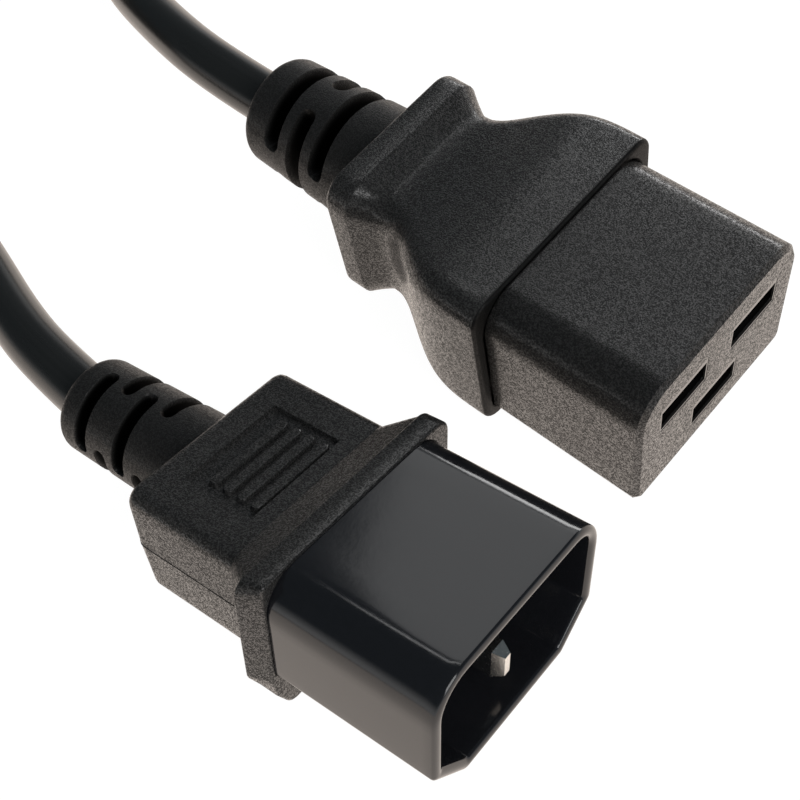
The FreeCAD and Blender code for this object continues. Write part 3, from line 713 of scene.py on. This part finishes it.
rings = cut_rings(x, sizes, sides)
rings[..., 0] -= REAR_LEAN * rings[..., 2] * smooth((panel_edges[0] - x) / LEAN_RUN)[:, None]
proud = np.maximum(-SHROUD_HALF - rings[..., 1], 0)
forward = np.clip((x - PLUG_PLATE_REAR) / (SHROUD_REAR - PLUG_PLATE_REAR), 0, 1)[:, None]
rings[..., 1] += SIDE_SLANT * proud * forward
top_columns = slice(ARC_POINTS, ARC_POINTS + len(top_side))
top = rings[:, top_columns]
top[..., 2] -= PANEL_DEPTH * panel_depth(top[..., 0], top[..., 1])
print("panel columns", top.shape[1])

# %% The parting line, and the plug's moulding as one piece
left = 2 * ARC_POINTS + len(sides[0]) + len(sides[1])
right = left + 3 * ARC_POINTS + sum(len(s) for s in sides[2:5])
behind = x < PLUG_FLANGE_REAR
for column in (left + ARC_POINTS // 2, right + ARC_POINTS // 2):
    rings[behind, column, 1] += PARTING_RISE * np.sign(rings[behind, column, 1])
block_skin = closed_behind(rings, BODY_REAR, PLUG_RELIEF_FOOT)
plug_sleeve = slotted_sleeve(
    BODY_REAR, length=20.2, front=6.4, rear=6.0, edge=1.1, first=6.5, pitch=3.2, count=4,
    width=1.7, bearings=(45.0, 135.0), sweep=106.0,
)
plug_moulding = make_piece("plug_moulding", [block_skin, plug_sleeve], plug_place)
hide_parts("plug_overmould")

on_cord = [shroud, plug_moulding]
on_cord += [frame["nodes"][n] for n in frame["nodes"] if n.startswith("plug_") or n == "jacket_plug_end"]
print("pieces on the cord", len(on_cord))

# %% [markdown]
# ## Finishes
# Each finish is a small tree of nodes under a Principled BSDF. Wired by hand such trees are slow
# to read, so a link wraps a socket and arithmetic on it adds the Math nodes. The tent of light
# further down is a tree of the same kind.

# %% A link, a tree and a finish


class Link:
    """One output socket; arithmetic with numbers or other links adds a Math node behind it."""

    def __init__(self, tree, socket):
        self.tree = tree
        self.socket = socket

    def math(self, operation, first, second):
        return self.tree.add("ShaderNodeMath", {"operation": operation}, {0: first, 1: second})

    def __add__(self, other):
        return self.math("ADD", self, other)

    def __radd__(self, other):
        return self.math("ADD", other, self)

    def __sub__(self, other):
        return self.math("SUBTRACT", self, other)

    def __rsub__(self, other):
        return self.math("SUBTRACT", other, self)

    def __mul__(self, other):
        return self.math("MULTIPLY", self, other)

    def __rmul__(self, other):
        return self.math("MULTIPLY", other, self)


class Tree:
    """A tree of nodes, whose place is one kind of texture coordinates."""

    def __init__(self, tree, coordinates):
        self.tree = tree
        self.place = self.add("ShaderNodeTexCoord", output=coordinates)

    def add(self, kind, settings=None, inputs=None, output=0):
        """Adds a node: its settings first, then values or links for its sockets; gives one output."""
        node = self.tree.nodes.new(kind)
        for name, value in (settings or {}).items():
            setattr(node, name, value)
        for name, value in (inputs or {}).items():
            self.feed(node.inputs[name], value)
        return Link(self, node.outputs[output])

    def feed(self, socket, value):
        if isinstance(value, Link):
            self.tree.links.new(value.socket, socket)
        else:
            socket.default_value = value

    def axis(self, name):
        """The place along X, Y or Z."""
        return self.add("ShaderNodeSeparateXYZ", None, {0: self.place}, output=name)

    def ray(self, kind):
        """1 where a Camera, Glossy or Transmission ray looks, 0 elsewhere."""
        return self.add("ShaderNodeLightPath", output=f"Is {kind} Ray")

    def ramp(self, value, low, high):
        """0 where the value is low, 1 where it is high, and even between."""
        return self.add("ShaderNodeMapRange", None, {"Value": value, "From Min": low, "From Max": high})

    def noise(self, size, detail=2.0, roughness=0.5):
        """Noise between 0 and 1 whose blotches are about this many millimetres across."""
        return self.add("ShaderNodeTexNoise", None, {
            "Vector": self.place, "Scale": 1 / (size * MM), "Detail": detail, "Roughness": roughness,
        })

    def stretched(self, place, scale, detail):
        """Noise whose place is first scaled by another factor along each axis."""
        place = self.add("ShaderNodeMapping", None, {"Vector": place, "Scale": scale})
        return self.add("ShaderNodeTexNoise", None, {"Vector": place, "Scale": 1.0, "Detail": detail})

    def between(self, mask, low, high):
        """Colour from low to high, which are colours or links, as the mask goes from 0 to 1."""
        low, high = (c if isinstance(c, Link) else (*c, 1) for c in (low, high))
        inputs = {0: mask, 6: low, 7: high}
        return self.add("ShaderNodeMix", {"data_type": "RGBA"}, inputs, output=2)


class Finish(Tree):
    """A material under a Principled BSDF; constants go straight to the shader's own sockets."""

    def __init__(self, name, constants):
        self.material = bpy.data.materials.new(name)
        self.material.use_nodes = True
        super().__init__(self.material.node_tree, "Object")
        self.surface = self.tree.nodes["Principled BSDF"]
        for socket, value in constants.items():
            self.surface.inputs[socket].default_value = value

    def vary(self, **sockets):
        """Feeds the surface's sockets, whose names are given with _ for a space."""
        for name, value in sockets.items():
            self.feed(self.surface.inputs[name.replace("_", " ")], value)

    def relief(self, height, depth, strength=1.0):
        """Bump of the height, which goes from 0 to 1, this many millimetres deep."""
        inputs = {"Height": height, "Distance": depth * MM, "Strength": strength}
        self.vary(Normal=self.add("ShaderNodeBump", None, inputs))


print("link, tree and finish ready")

# %% [markdown]
# Soft mouldings come out of a spark-eroded mould with a fine, matte grain. Bump alone hardly
# shows where a face mirrors the even floor, so the peaks of the grain, which rub against things,
# also carry a thin gloss: a coat whose weight follows the grain. Three masks change that: plain
# skin has no grain; smooth skin has a gloss and takes the grain's light tone, a painted sheen; and
# painted shade turns a place too deep for light into a black metal, which mirrors nothing.

# %% Grained moulding
GRAIN_PIT = 0.45
GRAIN_PEAK = 0.58
GRAIN_DEPTH = 0.40
# Painted shade: the black that slots and the seam are painted where light hardly reaches.
PAINTED_SHADE_BLACK = (0.0015, 0.0015, 0.0015)
SLOTS_REACH = (11.2, 7.2)
SLOT_FLARE = 0.35
FACE_SKIN = 0.03


def grained(name, dark, light, roughness, masks):
    """Matte plastic: two noises make the grain; colour, roughness and the gloss on peaks follow it.

    masks gives where the skin is plain, where painted shade makes it black, and where it is smooth with
    a painted sheen.
    """
    finish = Finish(name, {
        "IOR": 1.5, "Specular IOR Level": 0.25, "Coat Roughness": 0.22, "Coat IOR": 1.5,
    })
    grain = finish.noise(0.17, 2.0, 0.6) * 0.65 + finish.noise(0.34, 2.0) * 0.35
    clouds = finish.noise(9.0, 3.0)
    plain, deep, gloss_and_painted_sheen = masks(finish)
    # Smooth places count as peaks, so besides a real gloss they take the light tone as a painted sheen.
    peaks = finish.ramp(grain, GRAIN_PIT, GRAIN_PEAK) * (1.0 - plain) + gloss_and_painted_sheen
    shade = finish.between(peaks * 0.8 + clouds * 0.2, dark, light)
    finish.vary(
        # Painted shade: the mask blends the colour to black and makes it metallic, so it mirrors
        # nothing.
        Base_Color=finish.between(deep, shade, PAINTED_SHADE_BLACK),
        Metallic=deep,
        Roughness=roughness + (clouds - 0.5) * 0.12 - peaks * 0.34,
        Coat_Weight=0.2 + 0.8 * peaks - 0.2 * plain,
    )
    finish.relief(grain * (1.0 - plain), GRAIN_DEPTH)
    return finish.material


def sleeve_slots(finish):
    """A sleeve has less grain, and painted shade blackens its slots and the seam: its mesh says how far
    each point is sunk.
    """
    sunk = finish.add("ShaderNodeAttribute", {"attribute_name": "sunk"}, output="Fac")
    return sunk, finish.ramp(sunk, SLEEVE_SUNK, 1.0), 0.0


def nose_slots(finish):
    """Where the nose's slots widen at the face they are smooth, with a painted sheen; behind, painted
    shade makes them black.
    """

    def within(axis, middle, reach):
        """1 where the place lies no further than the reach, in millimetres, from the middle."""
        inputs = {0: finish.axis(axis), 1: middle * MM, 2: reach * MM}
        return finish.add("ShaderNodeMath", {"operation": "COMPARE"}, inputs)

    inside = within("Y", 0.0, SLOTS_REACH[0]) * within("Z", AXIS_Z, SLOTS_REACH[1])
    # Painted shade: behind the lip the slots are painted black.
    deep = inside * within("X", 0.0, FACE_X - SLOT_FLARE)
    # The lip is smooth and takes the light tone: a painted sheen on top of its real gloss.
    flare = inside * within("X", FACE_X - SLOT_FLARE / 2 - FACE_SKIN, SLOT_FLARE / 2)
    return flare + deep, deep, flare


moulding_finish = grained("moulding", (0.005,) * 3, (0.038, 0.037, 0.036), 0.70, sleeve_slots)
carrier_finish = grained("carrier", (0.003,) * 3, (0.022, 0.021, 0.020), 0.72, nose_slots)
print("grained", moulding_finish.name, carrier_finish.name)

# %% [markdown]
# The shroud is hard plastic from a polished mould: nearly a mirror, with the faint waviness
# that thick walls get as they cool and some fine handling marks in its gloss.

# %% Glossy shroud
shroud_look = Finish("shroud", {"IOR": 1.52})
waves = shroud_look.noise(7.0, 1.0)
marks = shroud_look.noise(0.6, 4.0, 0.7)
shroud_look.vary(
    Base_Color=shroud_look.between(marks, (0.009, 0.0098, 0.011), (0.014, 0.0145, 0.018)),
    Roughness=0.08 + waves * 0.04 + marks * 0.05,
)
shroud_look.relief(waves * 0.85 + marks * 0.15, 0.05, 0.5)
print("shroud finish ready")

# %% [markdown]
# The jacket is extruded, so its faint marks run along the cord. The curve's UV map follows the
# surface: U runs along it and V round it, so stretched noise on it gives drawn lines.

# %% Cord jacket
DRAWN_SCALE = (60.0, 24.0, 1.0)
jacket = Finish("jacket", {"IOR": 1.5})
along = jacket.add("ShaderNodeTexCoord", output="UV")
drawn = jacket.stretched(along, DRAWN_SCALE, 3.0)
skin = jacket.noise(0.35, 2.0)
jacket.vary(
    Base_Color=jacket.between(drawn, (0.014, 0.0147, 0.0145), (0.026, 0.027, 0.0265)),
    Roughness=0.17 + drawn * 0.08 + skin * 0.05,
)
jacket.relief(drawn * 0.5 + skin * 0.5, 0.02, 0.6)
print("jacket finish ready")

# %% [markdown]
# Metal parts are stamped from strip, so they carry fine lines one way and a few dull spots. The
# three cores have plain coloured insulation with the faint haze of extruded plastic.

# %% Metals and cores
ROLLED_SCALE = (800.0, 9000.0, 9000.0)


def stamped(name, dark, light, roughness):
    """Bright strip: noise stretched along X makes rolling lines in colour and gloss."""
    finish = Finish(name, {"Metallic": 1.0})
    lines = finish.stretched(finish.place, ROLLED_SCALE, 2.0)
    spots = finish.noise(1.4, 3.0)
    finish.vary(
        Base_Color=finish.between(lines * 0.6 + spots * 0.4, dark, light),
        Roughness=roughness + lines * 0.1 + spots * 0.08,
    )
    finish.relief(lines, 0.01, 0.5)
    return finish.material


def insulation(name, dark, light):
    """Plain coloured plastic: haze in its colour and a fine skin."""
    finish = Finish(name, {"IOR": 1.48})
    haze = finish.noise(2.5, 3.0)
    finish.vary(Base_Color=finish.between(haze, dark, light), Roughness=0.4 + haze * 0.12)
    finish.relief(finish.noise(0.3), 0.02, 0.5)
    return finish.material


finishes = {
    "moulding": moulding_finish,
    "carrier": carrier_finish,
    "shroud": shroud_look.material,
    "jacket": jacket.material,
    "pin": stamped("pin", (0.62, 0.61, 0.58), (0.86, 0.85, 0.82), 0.16),
    "brass": stamped("brass", (0.58, 0.42, 0.18), (0.78, 0.60, 0.30), 0.22),
    "copper": stamped("copper", (0.60, 0.28, 0.16), (0.80, 0.44, 0.28), 0.3),
    "core_brown": insulation("core_brown", (0.16, 0.07, 0.03), (0.24, 0.11, 0.05)),
    "core_blue": insulation("core_blue", (0.03, 0.10, 0.36), (0.05, 0.15, 0.48)),
    "core_green": insulation("core_green", (0.18, 0.34, 0.05), (0.26, 0.46, 0.09)),
}
print("finishes", len(finishes))

# %% Put the finishes on
slots = {part["node"]: part["material_slot"] for part in frame["record"]["subparts"]}
for name, node in frame["nodes"].items():
    node.data.materials.clear()
    node.data.materials.append(finishes[slots[name]])
new_pieces = {
    slot_lips: "carrier", cord: "jacket", shroud: "shroud",
    connector_moulding: "moulding", plug_moulding: "moulding",
}
for piece, slot in new_pieces.items():
    piece.data.materials.append(finishes[slot])
print("dressed", len(slots), "nodes")

# %% [markdown]
# ## Floor and light
# The lead lies on a white sweep in a bright tent whose ceiling is dim. Faces that look down
# mirror the bright floor and turn grey, and tops mirror the dim ceiling and stay black: this is
# what models black plastic. The floor answers camera rays with plain white. Mirrors see it a
# little warm, and dimmer towards -X, so that what mirrors its far end stays dark. It keeps a
# share of real light, so that the shadow stays.

# %% White floor
FLOOR_SIZE = 6.0
FLOOR_PAPER = (0.94, 0.90, 0.86, 1)
FLOOR_SHARE = 0.85
DIM_START = -0.10
DIM_END = -0.35
WHITE = (1.0, 1.0, 1.0)
MIRRORED_WHITE = (1.22, 1.08, 0.97)
MIRRORED_DIM = (0.37, 0.32, 0.29)
GLOW = 1.15
bpy.ops.mesh.primitive_plane_add(size=FLOOR_SIZE, location=(0, 0, 0))
floor = bpy.context.object
floor.name = "floor"
sweep = Finish("floor", {"Base Color": FLOOR_PAPER, "Roughness": 0.9})
camera_ray = sweep.ray("Camera")
seen = camera_ray + sweep.ray("Glossy") + sweep.ray("Transmission")
mirrored = sweep.between(sweep.ramp(sweep.axis("X"), DIM_END, DIM_START), MIRRORED_DIM, MIRRORED_WHITE)
white = sweep.between(camera_ray, mirrored, WHITE)
glow = sweep.add("ShaderNodeEmission", None, {"Color": white, "Strength": GLOW})
paper = Link(sweep, sweep.surface.outputs[0])
mixed = sweep.add("ShaderNodeMixShader", None, {0: seen * FLOOR_SHARE, 1: paper, 2: glow})
sweep.feed(sweep.tree.nodes["Material Output"].inputs["Surface"], mixed)
floor.data.materials.append(sweep.material)
print("floor", FLOOR_SIZE)

# %% [markdown]
# The world is the tent. The camera sees it white. To every other ray it is white near the
# horizon and dims towards the ceiling, and on the side towards -X it dims lower down.

# %% The tent
TENT_WHITE = 0.12
TENT_DIM = 0.42
TENT_CEILING = (0.06, 0.075, 0.085)
SIDE_SHADE = -0.42
SIDE_START = -0.12
world = bpy.data.worlds.new("tent")
scene.world = world
world.use_nodes = True
tent = Tree(world.node_tree, "Generated")
side_shade = tent.add(
    "ShaderNodeMath", {"operation": "MULTIPLY_ADD", "use_clamp": True},
    {0: tent.axis("X"), 1: SIDE_SHADE, 2: SIDE_START},
)
level = tent.ramp(tent.axis("Z") + side_shade, TENT_WHITE, TENT_DIM)
light = tent.between(tent.ray("Camera"), tent.between(level, WHITE, TENT_CEILING), WHITE)
tent.feed(tent.tree.nodes["Background"].inputs["Color"], light)
print("tent dims from", TENT_WHITE, "to", TENT_DIM)

# %% [markdown]
# Four lamps model the black plastic, each a soft rectangle that the camera doesn't see. The key
# stands in front of the mating faces. The card is mirrored in the shroud's top. The rim lamp
# stands low on the far side and lights the far edges, and the strip is so thin that glossy
# round edges show it as a fine line.

# %% Lamps
MIDDLE = (0.0, -0.01, 0.01)
SHROUD_MIDDLE = (0.03, -0.045, 0.02)


def soft_lamp(name, place, size, energy, aim=MIDDLE):
    """Area lamp, as wide and high as its size says, at a place in metres; its -Z looks at the aim."""
    lamp = bpy.data.lights.new(name, "AREA")
    lamp.shape = "RECTANGLE"
    lamp.size, lamp.size_y = size
    lamp.energy = energy
    holder = bpy.data.objects.new(name, lamp)
    holder.location = place
    holder.rotation_euler = (Vector(aim) - Vector(place)).to_track_quat("-Z", "Y").to_euler()
    holder.visible_camera = False
    scene.collection.objects.link(holder)
    return holder


key = soft_lamp("key", (0.45, -0.06, 0.39), (0.35, 0.35), 1.7)
soft_lamp("card", (-0.18, 0.40, 0.34), (0.28, 0.36), 0.40)
soft_lamp("rim", (-0.14, 0.54, 0.11), (0.35, 0.08), 0.55)
soft_lamp("strip", (-0.14, 0.22, 0.47), (0.30, 0.014), 0.08, SHROUD_MIDDLE)
print("key at", [round(v, 2) for v in key.location])

# %% [markdown]
# ## Finish
# The pieces must stay inside the imported model's box.

# %% The view transform
scene.view_settings.view_transform = "Standard"
